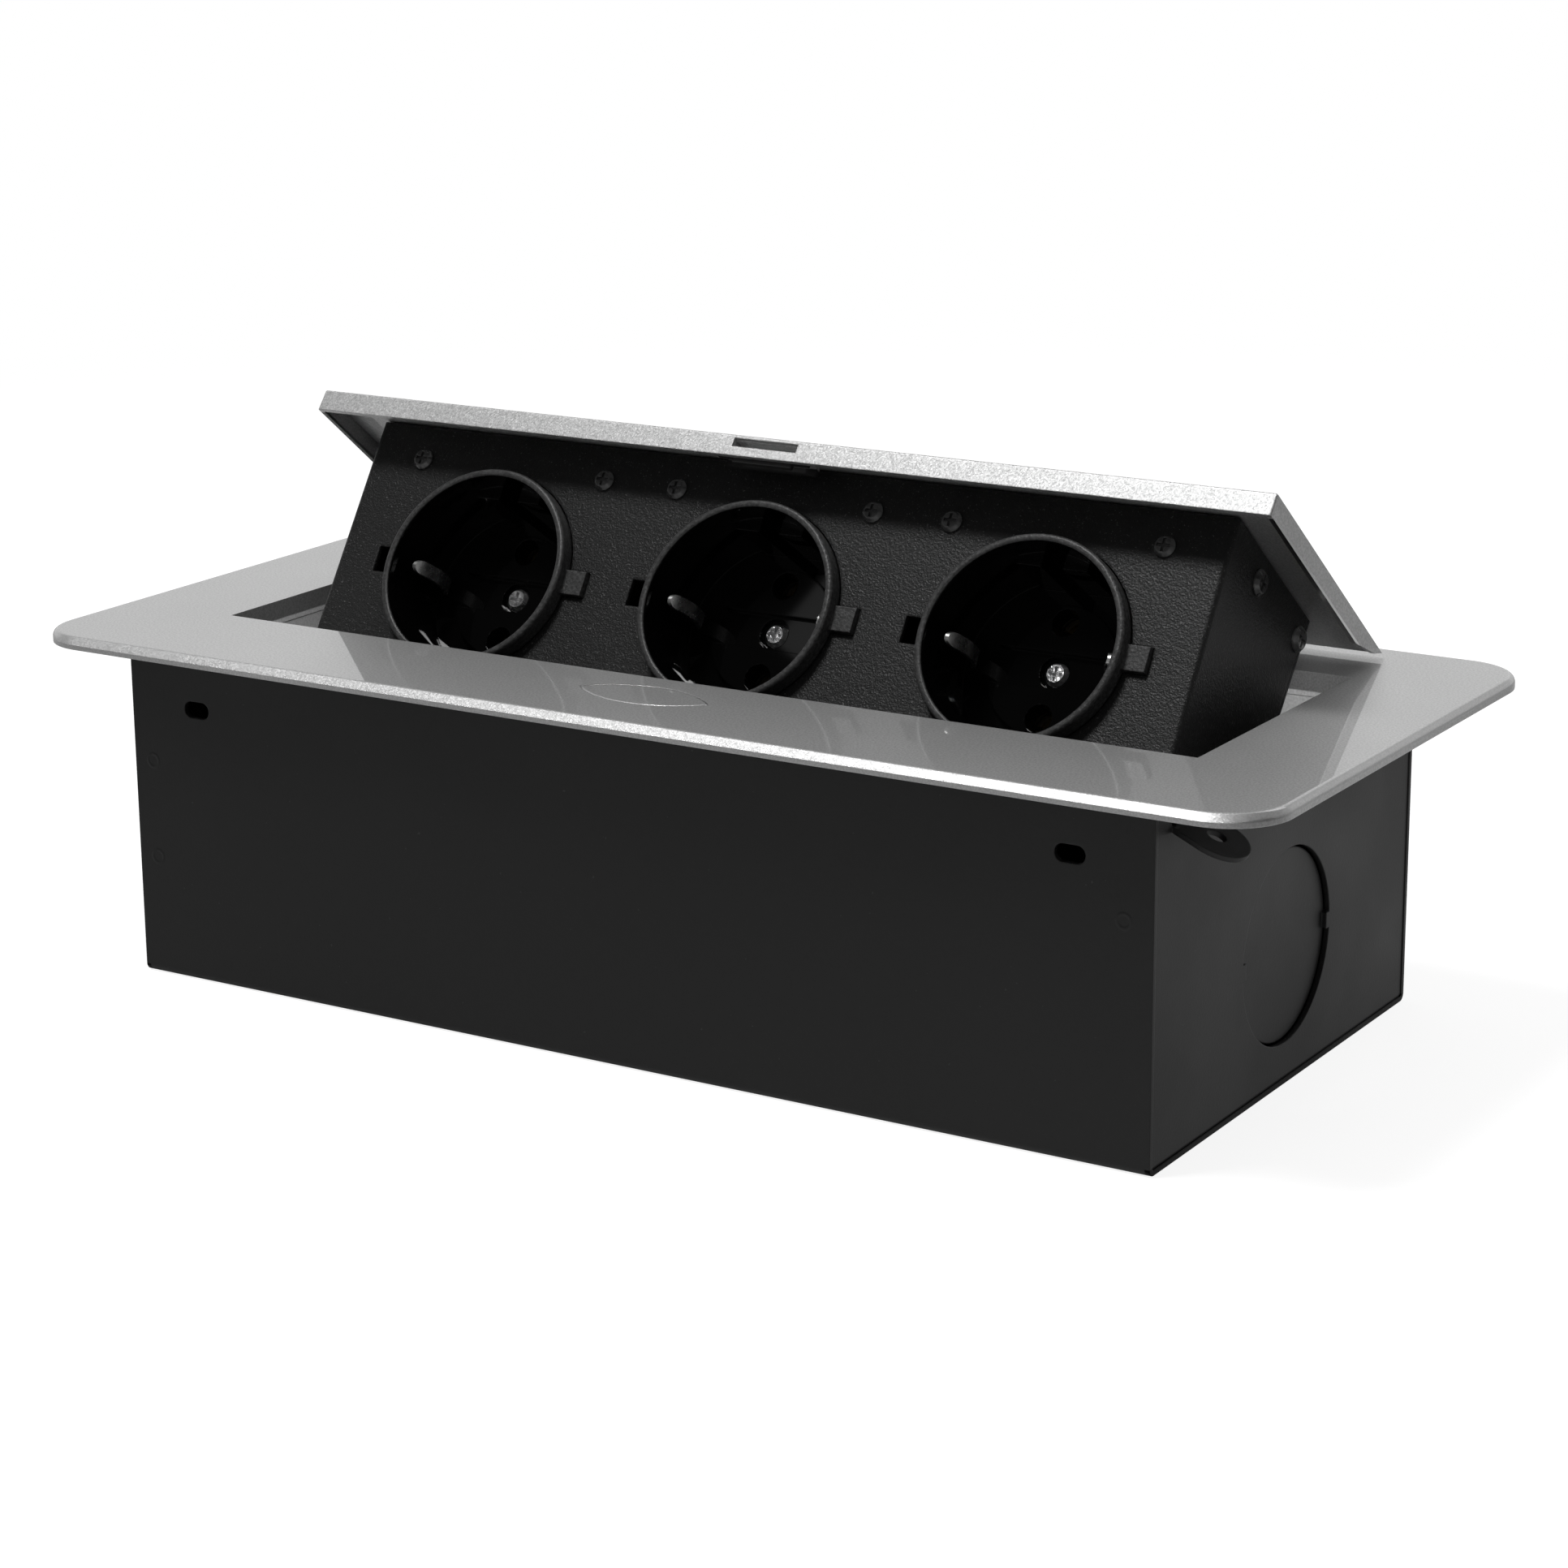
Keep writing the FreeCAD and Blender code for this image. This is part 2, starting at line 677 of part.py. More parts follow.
def carrier_shell():
    """One folded sheet: the leaning socket face, both sides and the bottom."""
    low = -carrier_drop
    outline = [(face_y(carrier_top, 0), carrier_top), (face_y(low, 0), low),
               (carrier_rear, low), (carrier_rear, carrier_top)]
    shell = bar_x(outline, carrier_half)
    shell = round_edges(shell, carrier_sheet, lambda p: shell_bend(p[0], p[1]))
    floor = low + carrier_sheet
    above = carrier_top + carrier_sheet
    hollow = bar_x([(face_y(above, carrier_sheet), above), (face_y(floor, carrier_sheet), floor),
                    (carrier_rear + carrier_sheet, floor), (carrier_rear + carrier_sheet, above)],
                   carrier_inner)
    cuts = [on_face(socket_cut_out(), x) for x in socket_places]
    cuts += [on_face(cylinder(screw_radius + screw_clearance, 2 * carrier_sheet,
                              V(side * face_screw_offset, face_screw_offset, -1.5 * carrier_sheet),
                              Z_AXIS), x)
             for x in socket_places for side in (-1, 1)]
    cuts += [cylinder(screw_radius + screw_clearance, 2 * carrier_sheet,
                      V(side * (carrier_half + carrier_sheet / 2), y, z), V(-side, 0, 0))
             for side in (-1, 1) for y, z in side_screw_places()]
    cuts += [cylinder(screw_radius + screw_clearance, carrier_sheet, V(x, y, low), Z_AXIS)
             for x, y in cover_screw_places()]
    return shell.cut(hollow).cut(cuts)


def shell_bend(a, b):
    """The folds between face and sides, and round the bottom."""
    if near(a.x, b.x):
        on_end = near(abs(a.x), carrier_half)
        lower = near(a.z, -carrier_drop) and near(b.z, -carrier_drop)
        at_face = near(a.y, face_y(a.z, 0)) and near(b.y, face_y(b.z, 0))
        return on_end and (lower or at_face)
    return near(a.z, -carrier_drop) and near(a.y, face_y(a.z, 0))


def socket_cut_out():
    depth = 2 * carrier_sheet
    hole = cylinder(rim_radius + tab_gap, depth, V(0, 0, -1.5 * carrier_sheet), Z_AXIS)
    reach = tab_reach + tab_gap
    half = tab_width / 2 + tab_gap
    return fuse(hole, box(-reach, reach, -half, half, -1.5 * carrier_sheet, carrier_sheet / 2))


def rear_cover():
    """A tray that closes the carrier's back, with flanges inside its sides and bottom."""
    low = -carrier_drop
    plate = box(-carrier_half, carrier_half, carrier_rear, carrier_rear + carrier_sheet, low, carrier_top)
    y0 = carrier_rear - cover_flange
    bottom = box(-carrier_inner, carrier_inner, y0, carrier_rear,
                 low + carrier_sheet, low + 2 * carrier_sheet)
    sides = [box(min(side * carrier_inner, side * (carrier_inner - carrier_sheet)),
                 max(side * carrier_inner, side * (carrier_inner - carrier_sheet)),
                 y0, carrier_rear, low + carrier_sheet, -cover_flange_drop) for side in (-1, 1)]
    holes = [cylinder(screw_radius + screw_clearance, carrier_sheet, V(x, y, low + carrier_sheet), Z_AXIS)
             for x, y in cover_screw_places()]
    holes += [cylinder(screw_radius + screw_clearance, carrier_sheet, V(side * x, carrier_rear, z), Y_AXIS)
              for side in (-1, 1) for x, z in arm_screw_places()]
    holes.append(cylinder(grommet_hole_radius, carrier_sheet, V(grommet_x, carrier_rear, -grommet_drop),
                          Y_AXIS))
    return fuse(plate, bottom, *sides).cut(holes)


def cover_screw_places():
    return [(x, carrier_rear - cover_screw_inset) for x in socket_places]


def cover_screws():
    screw = pan_screw(screw_head_radius, screw_head_height, screw_radius, cover_screw_length)
    return Part.makeCompound([aimed(screw, V(x, y, -carrier_drop), V(0, 0, -1))
                              for x, y in cover_screw_places()])


def face_screws():
    screw = pan_screw(screw_head_radius, screw_head_height, screw_radius, face_screw_length)
    places = [(x, side * face_screw_offset) for x in socket_places for side in (-1, 1)]
    return Part.makeCompound([on_face(aimed(screw, V(dx, face_screw_offset, 0), Z_AXIS), x)
                              for x, dx in places])


def socket_cup():
    """The moulded well that takes a plug, with its rim, locating key, guide ribs and floor."""
    body = Part.makeCone(body_radius - cup_taper, body_radius, -cup_bottom, V(0, 0, cup_bottom), Z_AXIS)
    rim = cylinder(rim_radius, rim_height, V(0, 0, 0), Z_AXIS)
    rim = rim.cut(cylinder(rim_inner, rim_height, V(0, 0, 0), Z_AXIS))
    rim = round_edges(rim, rim_round, lambda p: all(near(q.z, rim_height) for q in p))
    key = box(rim_inner + rim_wall / 2, tab_reach, -tab_width / 2, tab_width / 2, -carrier_sheet, tab_height)
    well = Part.makeCone(rim_inner - cup_taper, rim_inner, cup_depth, V(0, 0, -cup_depth), Z_AXIS)
    ribs = []
    for side in (-1, 1):
        y0, y1 = sorted((side * (rim_inner - 2 * guide_depth), side * rim_radius))
        for x in (-guide_spread / 2 - guide_width / 2, guide_spread / 2 - guide_width / 2):
            ribs.append(box(x, x + guide_width, y0, y1, -cup_depth, -guide_depth))
    well = well.cut(fuse(*ribs))
    island = cylinder(island_radius, island_height, V(0, 0, -cup_depth), Z_AXIS)
    flat = box(-island_radius, island_radius, -clip_width, clip_width, -cup_depth, 0)
    shape = fuse(body.cut(well.cut(island.cut(flat))), rim, key)
    holes = [cylinder(pin_hole_radius, cup_floor + island_height,
                      V(0, side * pin_hole_spacing / 2, cup_bottom), Z_AXIS) for side in (-1, 1)]
    holes.append(cylinder(screw_well_radius, screw_well_depth,
                          V(0, 0, -cup_depth - screw_well_depth), Z_AXIS))
    holes.append(cylinder(centre_screw_radius + screw_clearance, cup_floor, V(0, 0, cup_bottom), Z_AXIS))
    for side in (-1, 1):
        x0, x1 = sorted((side * (clip_radius - chamber_clearance),
                         side * (clip_radius + clip_sheet + chamber_clearance)))
        half = clip_tongue_width / 2 + chamber_clearance
        holes.append(box(x0, x1, -half, half, cup_bottom, -cup_depth))
    return shape.cut(holes)


def socket_base():
    """The moulded block behind the cup, with contact chambers and posts for the face screws."""
    plate = box(-base_half_width, base_half_width, -base_below, base_half_width, base_back, cup_bottom)
    plate = round_edges(plate, base_round, lambda p: near(p[0].x, p[1].x) and near(p[0].y, p[1].y))
    chamber = box(-chamber_half_width, chamber_half_width, -chamber_half_height, chamber_half_height,
                  chamber_back, base_back)
    posts = [cylinder(post_radius, -cup_bottom - carrier_sheet,
                      V(side * face_screw_offset, face_screw_offset, cup_bottom), Z_AXIS)
             for side in (-1, 1)]
    body = fuse(plate, chamber, *posts)
    hole_bottom = -carrier_sheet - face_hole_depth
    cuts = [cylinder(screw_radius, face_hole_depth,
                     V(side * face_screw_offset, face_screw_offset, hole_bottom), Z_AXIS)
            for side in (-1, 1)]
    cuts.append(box(-clip_radius - 2 * clip_sheet, clip_radius + 2 * clip_sheet,
                    -clip_width / 2 - chamber_clearance, clip_width / 2 + chamber_clearance,
                    cup_bottom - clip_sheet, cup_bottom))
    cuts.append(cylinder(centre_screw_radius, -chamber_back, V(0, 0, chamber_back), Z_AXIS))
    for side in (-1, 1):
        y = side * pin_hole_spacing / 2
        cuts.append(cylinder(contact_radius + chamber_clearance, contact_length + contact_sink,
                             V(0, y, contact_top - contact_length), Z_AXIS))
        cuts.append(cylinder(contact_tail + chamber_clearance, -chamber_back, V(0, y, chamber_back), Z_AXIS))
    return body.cut(cuts)


def earth_clip():
    """A strap below the cup's floor whose two ends stand up as spring tongues."""
    half = clip_width / 2
    strap = box(-clip_radius - clip_sheet, clip_radius + clip_sheet, -half, half,
                cup_bottom - clip_sheet, cup_bottom)
    strap = strap.cut(cylinder(centre_screw_radius + screw_clearance, clip_sheet,
                               V(0, 0, cup_bottom - clip_sheet), Z_AXIS))
    half = clip_tongue_width / 2
    tip = -cup_depth + clip_height
    belly = tip - clip_height / 4
    tongues = []
    for side in (-1, 1):
        inner, outer = [[V(side * x, -half, z) for x, z in (
            (clip_radius + k * clip_sheet, -cup_depth), (clip_radius - clip_lean + k * clip_sheet, belly),
            (clip_radius + k * clip_sheet, tip))] for k in (0, 1)]
        foot = [V(side * (clip_radius + k * clip_sheet), -half, cup_bottom) for k in (0, 1)]
        edges = [Part.makeLine(foot[0], inner[0]), Part.Arc(*inner).toShape(),
                 Part.makeLine(inner[2], outer[2]), Part.Arc(outer[2], outer[1], outer[0]).toShape(),
                 Part.makeLine(outer[0], foot[1]), Part.makeLine(foot[1], foot[0])]
        tongues.append(Part.Face(Part.Wire(edges)).extrude(V(0, clip_tongue_width, 0)))
    reach = clip_radius + 2 * clip_sheet
    corners = box(-reach, reach, -clip_width, clip_width, tip - half, tip + clip_sheet)
    corners = corners.cut(cylinder(half, 2 * reach, V(-reach, 0, tip - half), X_AXIS))
    return fuse(strap, *tongues).cut(corners)


def pin_contact(side):
    """A slit brass sleeve behind one pin hole, with a tail to its bus strip."""
    y = side * pin_hole_spacing / 2
    floor = contact_top - contact_length
    sleeve = cylinder(contact_radius, contact_length, V(0, y, floor), Z_AXIS)
    sleeve = sleeve.cut(cylinder(contact_bore, contact_length - contact_tail, V(0, y, floor + contact_tail),
                                 Z_AXIS))
    slit = box(-contact_radius, contact_radius, y - contact_slit / 2, y + contact_slit / 2,
               floor + 2 * contact_tail, contact_top)
    tail = cylinder(contact_tail, floor - chamber_back, V(0, y, chamber_back), Z_AXIS)
    return fuse(sleeve.cut(slit), tail)


def centre_screw():
    screw = pan_screw(centre_head_radius, centre_head_height, centre_screw_radius,
                      -chamber_back - cup_depth - screw_well_depth)
    return aimed(screw, V(0, 0, -cup_depth - screw_well_depth), Z_AXIS)


def bus_strip(y):
    """A strip across the backs of the sockets, in the middle socket's frame."""
    reach = (socket_count - 1) / 2 * socket_pitch + bus_overhang
    strip = box(-reach, reach, y - bus_width / 2, y + bus_width / 2,
                chamber_back - bus_thickness, chamber_back)
    return on_face(strip, 0)


def terminal_block():
    half = terminal_poles * terminal_pole_width / 2
    low = -carrier_drop + 2 * carrier_sheet + terminal_lift
    body = box(terminal_x - half, terminal_x + half, carrier_rear - terminal_depth, carrier_rear,
               low, low + terminal_height)
    feet = [box(x - terminal_pole_width / 4, x + terminal_pole_width / 4, carrier_rear - terminal_depth,
                carrier_rear, low - terminal_lift, low) for x in terminal_places()]
    wells = [cylinder(terminal_head_radius + screw_clearance, terminal_height / 3,
                      V(x, carrier_rear - terminal_depth / 2, low + terminal_height * 2 / 3), Z_AXIS)
             for x in terminal_places()]
    wells += [cylinder(terminal_screw_radius, terminal_height / 3,
                       V(x, carrier_rear - terminal_depth / 2, low + terminal_height / 3), Z_AXIS)
              for x in terminal_places()]
    near_side = (terminal_pole_width - terminal_groove) / 2
    far_side = (terminal_pole_width + terminal_groove) / 2
    grooves = [box(x + near_side, x + far_side, carrier_rear - terminal_depth,
                   carrier_rear - terminal_depth / 2, low, low + terminal_height)
               for x in terminal_places()[:-1]]
    return fuse(body, *feet).cut(wells + grooves)


def terminal_places():
    return [terminal_x + (k - (terminal_poles - 1) / 2) * terminal_pole_width for k in range(terminal_poles)]


def terminal_screws():
    low = -carrier_drop + 2 * carrier_sheet + terminal_lift
    screw = pan_screw(terminal_head_radius, terminal_head_height, terminal_screw_radius, terminal_height / 3)
    y = carrier_rear - terminal_depth / 2
    z = low + terminal_height * 2 / 3
    return Part.makeCompound([aimed(screw, V(x, y, z), Z_AXIS) for x in terminal_places()])


def cable_grommet():
    """A rubber ring that snaps into the rear cover, where the supply lead comes in."""
    depth = carrier_sheet + 2 * grommet_lip
    start = V(grommet_x, carrier_rear - grommet_lip, -grommet_drop)
    ring = cylinder(grommet_rim, depth, start, Y_AXIS)
    groove = cylinder(grommet_rim + 1, carrier_sheet, start + V(0, grommet_lip, 0), Y_AXIS)
    groove = groove.cut(cylinder(grommet_hole_radius, carrier_sheet, start + V(0, grommet_lip, 0), Y_AXIS))
    return ring.cut(groove).cut(cylinder(grommet_bore, depth, start, Y_AXIS))


def leg_profile(spread, z_high, z_low):
    """The slanting leg between two heights; pressed down, it draws the latch back as far."""
    half = leg_thickness / math.sqrt(2) + spread
    return [(leg_centre - half - z_high, z_high), (leg_centre + half - z_high, z_high),
            (leg_centre + half - z_low, z_low), (leg_centre - half - z_low, z_low)]


def release_button():
    cap_under = top_z - button_cap
    cap = lens(button_half_length, button_half_width, button_y, cap_under, top_z)
    cap = round_edges(cap, button_round, lambda p: all(near(q.z, top_z) for q in p))
    leg = bar_x(leg_profile(0, cap_under, leg_foot), leg_half_width)
    return fuse(cap, leg)


def latch_slider():
    """A sprung plate under the front rail: a window for the button, a web with a slanting
    slot for its leg, and the tongue that holds the lid shut."""
    high = slider_bottom + slider_thickness
    front = slider_rear - slider_length
    plate = box(-slider_half_width, slider_half_width, front, slider_rear, slider_bottom, high)
    tongue = prism_x([(slider_rear, slider_bottom), (tongue_tip, slider_bottom),
                      (tongue_tip, high - tongue_bevel), (tongue_tip - tongue_bevel, high),
                      (slider_rear, high)], -tongue_half_width, tongue_half_width)
    window_half = button_half_length + window_margin + screw_clearance
    web_top = -slider_web_drop
    web_low = web_top - slider_web
    web_front = leg_centre - web_top - slider_web_length / 2
    web_rear = web_front + slider_web_length
    web = box(-window_half - slider_wall, window_half + slider_wall, web_front, web_rear, web_low, web_top)
    walls = [box(min(side * window_half, side * (window_half + slider_wall)),
                 max(side * window_half, side * (window_half + slider_wall)),
                 web_front, web_rear, web_low, high) for side in (-1, 1)]
    window = lens(window_half, button_half_width + window_margin, button_y, slider_bottom, high)
    moved = window.copy()
    moved.translate(V(0, latch_travel, 0))
    sweep = box(-window_half, window_half, button_y, button_y + latch_travel, slider_bottom, high)
    slot = bar_x(leg_profile(leg_clearance * math.sqrt(2), web_top, web_low), leg_half_width + leg_clearance)
    plate = plate.cut(fuse(window, moved, sweep))
    return fuse(plate, tongue, web.cut(slot), *walls)


def latch_guide():
    """A moulded tray below the slider, screwed to two bosses of the frame."""
    outer = slider_half_width + button_gap
    inner = button_half_length + window_margin + screw_clearance + slider_wall + button_gap
    front = pocket_front - guide_wall
    rear = pocket_rear + guide_wall - button_gap
    low = guide_bottom - guide_floor
    tray = box(-outer, outer, front, rear, low, guide_top)
    tray = tray.cut(box(-inner, inner, pocket_front, rear - guide_wall, guide_bottom, guide_top))
    high = seat_recess - boss_height
    ears = box(-guide_screw_x - guide_ear / 2, guide_screw_x + guide_ear / 2,
               button_y - guide_ear / 2, button_y + guide_ear / 2, high - guide_ear_thickness, high)
    ears = ears.cut(box(-outer, outer, front, rear, low, guide_top))
    clearance = [cylinder(screw_radius + screw_clearance, guide_ear_thickness,
                          V(x, button_y, high - guide_ear_thickness), Z_AXIS)
                 for x in (-guide_screw_x, guide_screw_x)]
    return fuse(tray, ears).cut(clearance)


def guide_screws():
    seat = seat_recess - boss_height - guide_ear_thickness
    screw = pan_screw(screw_head_radius, screw_head_height, screw_radius,
                      guide_ear_thickness + guide_screw_bite)
    return Part.makeCompound([aimed(screw, V(x, button_y, seat), V(0, 0, -1))
                              for x in (-guide_screw_x, guide_screw_x)])


def button_spring():
    winding = coil(button_spring_radius, button_spring_wire,
                   (button_spring_length - button_spring_wire) / button_spring_turns, button_spring_turns)
    winding.translate(V(0, leg_centre - leg_foot, guide_bottom + button_spring_wire / 2))
    return winding


save("frame", frame())
save("frame_nuts", frame_nuts())
save("housing_body", housing_body())
save("end_wall_right", end_wall())
save("end_wall_left", turned_half_round(end_wall()))
save("release_button", release_button())
save("latch_slider", latch_slider())
save("latch_guide", latch_guide())
save("guide_screws", guide_screws())
save("button_spring", button_spring())
for suffix, place in (("right", lambda s: s), ("left", mirrored)):
    save("hinge_bracket_" + suffix, place(hinge_bracket()))
    save("hinge_pin_" + suffix, place(hinge_pin()))
    save("torsion_spring_" + suffix, place(torsion_spring()))
    save_open("hinge_arm_" + suffix, place(hinge_arm()))
    save_open("lid_bracket_" + suffix, place(lid_bracket()))
save_open("arm_screws", arm_screws())
save_open("lid", lid())
save_open("lid_catch", lid_catch())
save_open("side_screws", side_screws())
save_open("carrier_shell", carrier_shell())
save_open("rear_cover", rear_cover())
save_open("cover_screws", cover_screws())
save_open("face_screws", face_screws())
for number, x in enumerate(socket_places, 1):
    save_open("socket_cup_%d" % number, on_face(socket_cup(), x))
    save_open("socket_base_%d" % number, on_face(socket_base(), x))
    save_open("earth_clip_%d" % number, on_face(earth_clip(), x))
    save_open("live_contact_%d" % number, on_face(pin_contact(1), x))
    save_open("neutral_contact_%d" % number, on_face(pin_contact(-1), x))
    save_open("centre_screw_%d" % number, on_face(centre_screw(), x))
save_open("live_bus", bus_strip(pin_hole_spacing / 2))
save_open("neutral_bus", bus_strip(-pin_hole_spacing / 2))
save_open("earth_bus", bus_strip(0))
save_open("terminal_block", terminal_block())
save_open("terminal_screws", terminal_screws())
save_open("cable_grommet", cable_grommet())
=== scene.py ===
"""Looks of the in-desk power module: materials, studio and camera around the CAD frame."""

import json
import math

import bpy
from mathutils import Matrix, Vector


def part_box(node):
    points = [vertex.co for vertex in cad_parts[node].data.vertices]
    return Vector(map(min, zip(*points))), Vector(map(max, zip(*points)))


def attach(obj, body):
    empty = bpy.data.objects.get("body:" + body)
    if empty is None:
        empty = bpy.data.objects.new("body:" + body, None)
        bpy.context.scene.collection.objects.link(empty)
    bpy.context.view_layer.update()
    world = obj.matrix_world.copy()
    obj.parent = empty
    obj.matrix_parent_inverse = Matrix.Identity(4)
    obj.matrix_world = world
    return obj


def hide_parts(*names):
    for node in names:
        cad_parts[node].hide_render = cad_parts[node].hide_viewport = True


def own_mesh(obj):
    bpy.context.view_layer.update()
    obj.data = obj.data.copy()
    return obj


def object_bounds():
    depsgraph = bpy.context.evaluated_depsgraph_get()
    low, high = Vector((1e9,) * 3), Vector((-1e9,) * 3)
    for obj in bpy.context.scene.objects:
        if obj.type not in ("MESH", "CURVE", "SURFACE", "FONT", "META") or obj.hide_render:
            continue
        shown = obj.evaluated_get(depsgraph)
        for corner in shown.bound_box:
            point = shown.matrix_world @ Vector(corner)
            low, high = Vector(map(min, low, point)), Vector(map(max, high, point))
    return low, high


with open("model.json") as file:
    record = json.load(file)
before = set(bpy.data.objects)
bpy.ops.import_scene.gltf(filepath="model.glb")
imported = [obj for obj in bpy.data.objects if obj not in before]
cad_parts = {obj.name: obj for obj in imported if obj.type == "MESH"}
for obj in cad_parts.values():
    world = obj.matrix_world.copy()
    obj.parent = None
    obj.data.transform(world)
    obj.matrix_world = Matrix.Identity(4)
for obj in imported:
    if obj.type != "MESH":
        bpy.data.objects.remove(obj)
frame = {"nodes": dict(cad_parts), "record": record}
size_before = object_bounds()

# Sizes and places in metres, and directions, with the lid open as in the photo
plate_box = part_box("frame")
corner_radius = 0.012
corner_x = plate_box[1][0] - corner_radius
corner_y = plate_box[1][1] - corner_radius
lid_tilt = math.radians(38.7)
lid_out = (0.0, math.sin(lid_tilt), math.cos(lid_tilt))
lid_back = (0.0, math.cos(lid_tilt), -math.sin(lid_tilt))
face_lean = math.radians(5.4)
face_up = (0.0, math.sin(lid_tilt - face_lean), math.cos(lid_tilt - face_lean))
socket_pitch = 0.061
socket_centre = (0.0, -0.0077, 0.01209)

# The two inputs and the output of a mix node for each kind of value
mix_sockets = {"RGBA": (6, 7, 2), "VECTOR": (4, 5, 1)}


class Graph:
    """Adds nodes to the tree of one material or world and joins them."""

    def __init__(self, owner):
        owner.use_nodes = True
        self.tree = owner.node_tree
        self.tree.nodes.clear()

    def add(self, kind, settings=None, inputs=None):
        node = self.tree.nodes.new(kind)
        for key, value in (settings or {}).items():
            setattr(node, key, value)
        for key, value in (inputs or {}).items():
            self.feed(node.inputs[key], value)
        return node

    def feed(self, socket, value):
        """Joins a socket to another or sets its value. One number for a colour is a grey."""
        if isinstance(value, bpy.types.NodeSocket):
            self.tree.links.new(value, socket)
            return
        if socket.type == "RGBA":
            value = (*value, 1.0) if isinstance(value, tuple) else (value, value, value, 1.0)
        socket.default_value = value

    def show(self, shader, kind="ShaderNodeOutputMaterial"):
        self.add(kind, {}, {"Surface": shader})

    def math(self, kind, *values):
        return self.add("ShaderNodeMath", {"operation": kind}, dict(enumerate(values))).outputs[0]

    def vector(self, kind, *values):
        node = self.add("ShaderNodeVectorMath", {"operation": kind}, dict(enumerate(values)))
        return node.outputs["Value" if kind in ("DOT_PRODUCT", "LENGTH") else "Vector"]

    def scaled(self, vector, factor):
        inputs = {0: vector, "Scale": factor}
        return self.add("ShaderNodeVectorMath", {"operation": "SCALE"}, inputs).outputs[0]

    def split(self, vector):
        """The three parts of a vector."""
        return self.add("ShaderNodeSeparateXYZ", {}, {0: vector}).outputs

    def position(self, scale=1.0):
        """The place on the part in metres, times a scale."""
        return self.scaled(self.add("ShaderNodeTexCoord").outputs["Object"], scale)

    def noise(self, size, detail=2.0, roughness=0.5):
        """Noise whose features are about that many metres across."""
        return self.add("ShaderNodeTexNoise", {}, {
            "Vector": self.position(1 / size), "Scale": 1.0, "Detail": detail, "Roughness": roughness,
        }).outputs["Fac"]

    def ramp(self, value, low, high, out_low=0.0, out_high=1.0):
        return self.add("ShaderNodeMapRange", {"interpolation_type": "SMOOTHSTEP", "clamp": True}, {
            "Value": value, "From Min": low, "From Max": high, "To Min": out_low, "To Max": out_high,
        }).outputs["Result"]

    def stretch(self, noise, out_low=0.0, out_high=1.0):
        """The middle of a noise, where most of it lies, drawn out over a range."""
        middle = (0.3, 0.7)
        return self.ramp(noise, *middle, out_low, out_high)

    def span(self, value, low, high, soft):
        """1 between two values, falling to 0 over a soft width outside them."""
        rise = self.ramp(value, low - soft, low)
        return self.math("MULTIPLY", rise, self.ramp(value, high, high + soft, 1.0, 0.0))

    def overlap(self, *masks):
        """Where all the masks hold."""
        total = masks[0]
        for mask in masks[1:]:
            total = self.math("MULTIPLY", total, mask)
        return total

    def distance(self, a, b):
        """The root of the sum of two squares."""
        squares = self.math("ADD", self.math("POWER", a, 2.0), self.math("POWER", b, 2.0))
        return self.math("SQRT", squares)

    def mix(self, factor, a, b, kind="RGBA"):
        first, second, result = mix_sockets[kind]
        inputs = {0: factor, first: a, second: b}
        return self.add("ShaderNodeMix", {"data_type": kind}, inputs).outputs[result]

    def mottled(self, size, dark, light):
        """A colour that drifts between two, in patches of about that many metres."""
        return self.mix(self.noise(size, detail=3.0), dark, light)

    def soft_edges(self, radius):
        """A normal that rounds every edge off by that many metres."""
        return self.add("ShaderNodeBevel", {}, {"Radius": radius}).outputs["Normal"]

    def bump(self, height, distance, strength, edge_radius=None):
        """A normal that follows a height, on edges rounded off where a radius is given."""
        inputs = {"Height": height, "Distance": distance, "Strength": strength}
        if edge_radius:
            inputs["Normal"] = self.soft_edges(edge_radius)
        return self.add("ShaderNodeBump", {}, inputs).outputs["Normal"]

    def surface(self, **inputs):
        """The main shader with its inputs, wired to the output."""
        named = {key.replace("_", " "): value for key, value in inputs.items()}
        self.show(self.add("ShaderNodeBsdfPrincipled", {}, named).outputs[0])


def catch_shade_mask(g, x, rise, depth):
    """1 on the lower part of the catch behind the lid's front flange, where painted shade goes."""
    half_width = 0.0101
    front_to_back = (-0.0241, -0.0195)
    bottom_to_top = (0.029, 0.0316)
    soft = 0.0001
    return g.overlap(
        g.span(depth, *front_to_back, soft), g.span(x, -half_width, half_width, soft),
        g.span(rise, *bottom_to_top, 4 * soft),
    )


def rim_mask(g, place, z):
    """1 on the upper part of the plate's rim and less on the lower, and the way the rim faces."""
    rim_start = (corner_radius - 0.00115, corner_radius - 0.0009)
    upper_rim = (0.001, 0.0022)
    lower_rim = (0.0, 0.0009)
    lower_share = 0.35
    outward_share = (0.68, 0.68, 0.0)
    upward_share = (0.04, 0.0, 0.75)
    soft = 0.0002
    # The arm runs level from the nearest point inside the rounded corners' centres
    nearest = g.vector("MINIMUM", place, (corner_x, corner_y, 1.0))
    nearest = g.vector("MAXIMUM", nearest, (-corner_x, -corner_y, -1.0))
    arm = g.vector("MULTIPLY", g.vector("SUBTRACT", place, nearest), (1.0, 1.0, 0.0))
    slant = g.vector("MULTIPLY_ADD", g.vector("NORMALIZE", arm), outward_share, upward_share)
    lower = g.math("MULTIPLY", g.span(z, *lower_rim, soft), lower_share)
    height = g.math("MAXIMUM", g.span(z, *upper_rim, soft), lower)
    return g.overlap(g.ramp(g.vector("LENGTH", arm), *rim_start), height), slant


